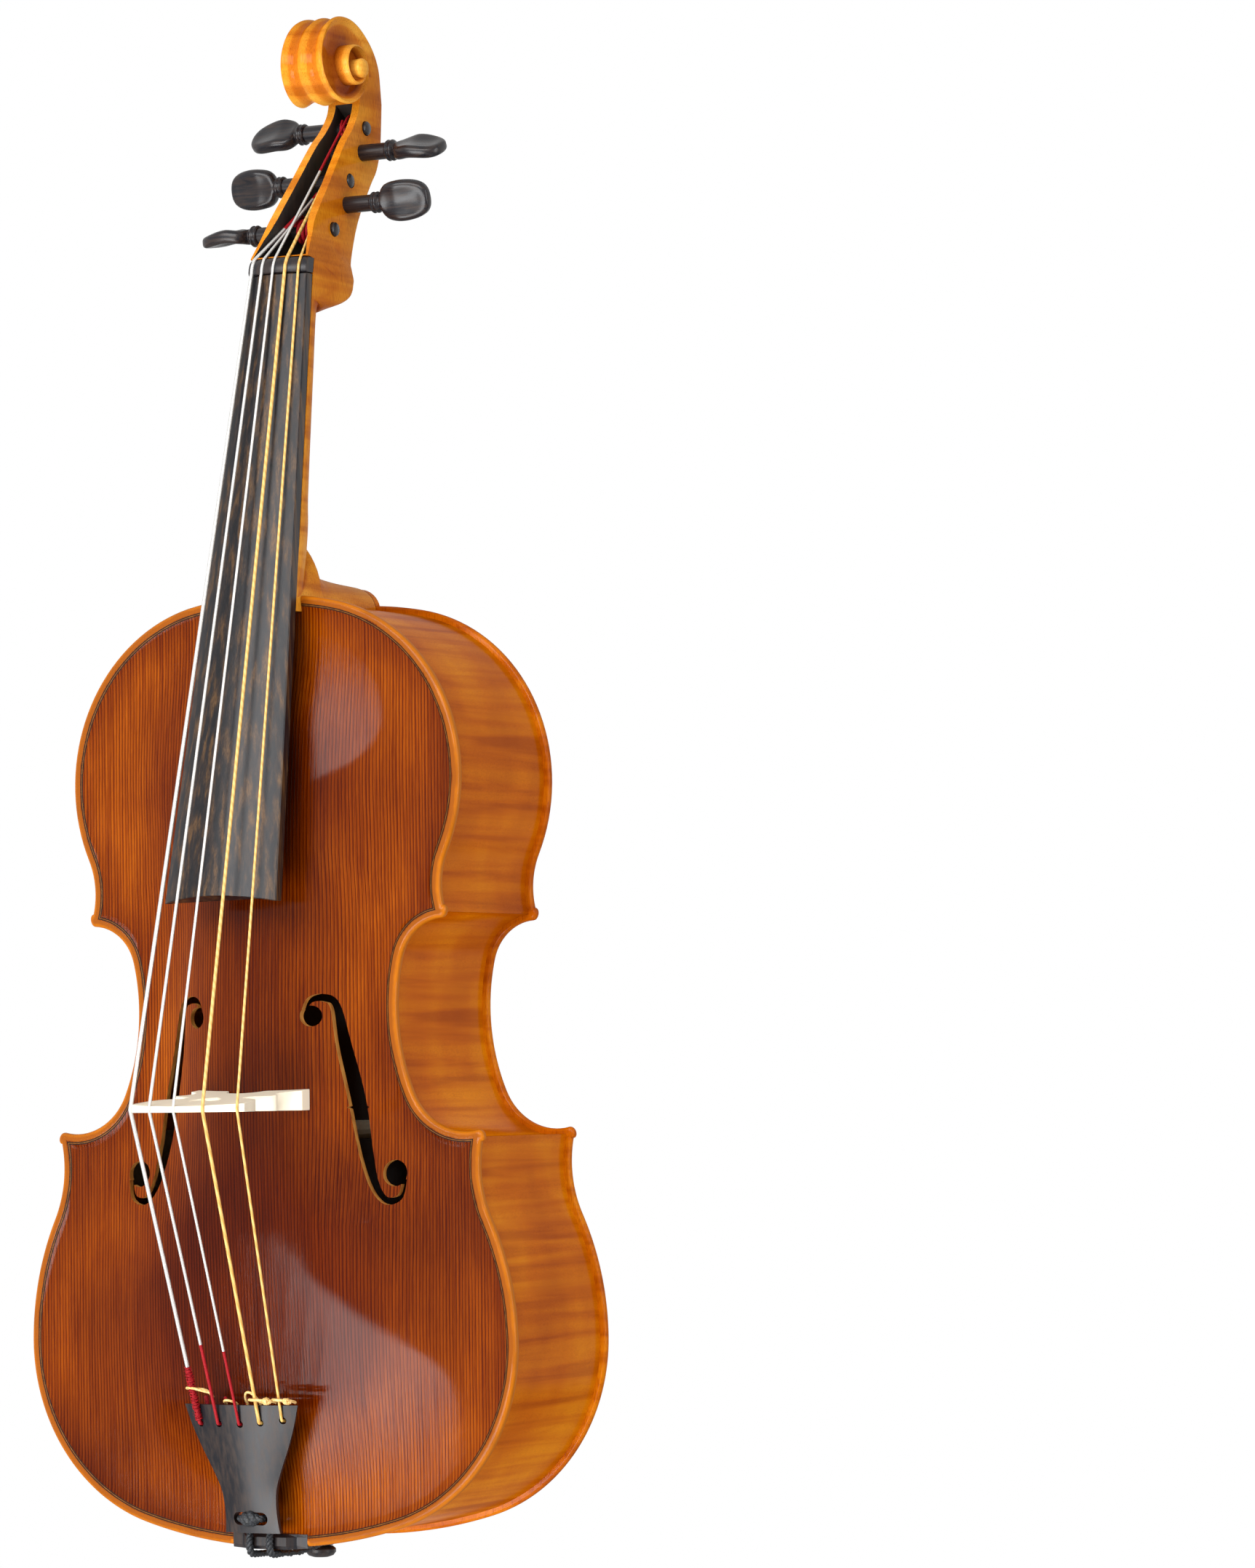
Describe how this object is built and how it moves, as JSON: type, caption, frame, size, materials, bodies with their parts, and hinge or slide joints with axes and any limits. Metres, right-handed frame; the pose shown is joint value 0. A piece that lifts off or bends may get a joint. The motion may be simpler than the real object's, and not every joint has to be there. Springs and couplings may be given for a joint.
{
  "type": "violoncello da spalla",
  "caption": "Shoulder cello: arched spruce and maple body with sound holes, carved scroll, tapered friction pegs in a pegbox, gut strings over a cut-out bridge, broad flat tailpiece.",
  "frame": {"origin": "centre of the flat outer face of the end button, at the lowest point of the instrument", "axes": "+Z from the end button to the scroll; -Y out of the front (top plate); +X to the treble side"},
  "size_m": [0.2708, 0.1907, 0.7522],
  "materials": {
    "maple": "golden brown varnish, glossy",
    "spruce": "orange brown varnish, glossy",
    "bare_spruce": "unfinished",
    "bare_maple": "unfinished, fine grained",
    "inlay": "let in and varnished over",
    "ebony": "polished, satin",
    "cord": "braided",
    "wound_string": "gut core wound with fine silver wire",
    "gut_string": "plain gut, satin"
  },
  "bodies": {
    "instrument": {"back_plate": "maple", "back_purfling": "inlay", "bass_bar": "bare_spruce", "bridge": "bare_maple", "end_block": "bare_spruce", "end_button": "ebony", "fingerboard": "ebony", "lower_back_lining_bass": "bare_spruce", "lower_back_lining_treble": "bare_spruce", "lower_corner_block_bass": "bare_spruce", "lower_corner_block_treble": "bare_spruce", "lower_rib_bass": "maple", "lower_rib_treble": "maple", "lower_top_lining_bass": "bare_spruce", "lower_top_lining_treble": "bare_spruce", "middle_back_lining_bass": "bare_spruce", "middle_back_lining_treble": "bare_spruce", "middle_rib_bass": "maple", "middle_rib_treble": "maple", "middle_top_lining_bass": "bare_spruce", "middle_top_lining_treble": "bare_spruce", "neck_and_scroll": "maple", "neck_block": "bare_spruce", "nut": "ebony", "saddle": "ebony", "sound_post": "bare_spruce", "string_1": "wound_string", "string_2": "wound_string", "string_3": "wound_string", "string_4": "gut_string", "string_5": "gut_string", "tailgut": "cord", "tailpiece": "ebony", "top_plate": "spruce", "top_purfling_bass": "inlay", "top_purfling_treble": "inlay", "upper_back_lining_bass": "bare_spruce", "upper_back_lining_treble": "bare_spruce", "upper_corner_block_bass": "bare_spruce", "upper_corner_block_treble": "bare_spruce", "upper_rib_bass": "maple", "upper_rib_treble": "maple", "upper_top_lining_bass": "bare_spruce", "upper_top_lining_treble": "bare_spruce"},
    "peg_bass_1": {"bass_1_peg": "ebony", "winding_bass_1": "wound_string"},
    "peg_treble_1": {"treble_1_peg": "ebony", "winding_treble_1": "gut_string"},
    "peg_bass_2": {"bass_2_peg": "ebony", "winding_bass_2": "gut_string"},
    "peg_treble_2": {"treble_2_peg": "ebony", "winding_treble_2": "wound_string"},
    "peg_bass_3": {"bass_3_peg": "ebony", "winding_bass_3": "wound_string"}
  },
  "joints": [
    {"name": "turn_bass_1", "type": "hinge", "parent": "instrument", "child": "peg_bass_1", "pos_m": [0, 0.0415, 0.6992], "axis": [1, 0, 0], "continuous": true},
    {"name": "turn_treble_1", "type": "hinge", "parent": "instrument", "child": "peg_treble_1", "pos_m": [0, 0.036, 0.6862], "axis": [1, 0, 0], "continuous": true},
    {"name": "turn_bass_2", "type": "hinge", "parent": "instrument", "child": "peg_bass_2", "pos_m": [0, 0.0229, 0.6707], "axis": [1, 0, 0], "continuous": true},
    {"name": "turn_treble_2", "type": "hinge", "parent": "instrument", "child": "peg_treble_2", "pos_m": [0, 0.0175, 0.658], "axis": [1, 0, 0], "continuous": true},
    {"name": "turn_bass_3", "type": "hinge", "parent": "instrument", "child": "peg_bass_3", "pos_m": [0, 0.0034, 0.6443], "axis": [1, 0, 0], "continuous": true}
  ]
}
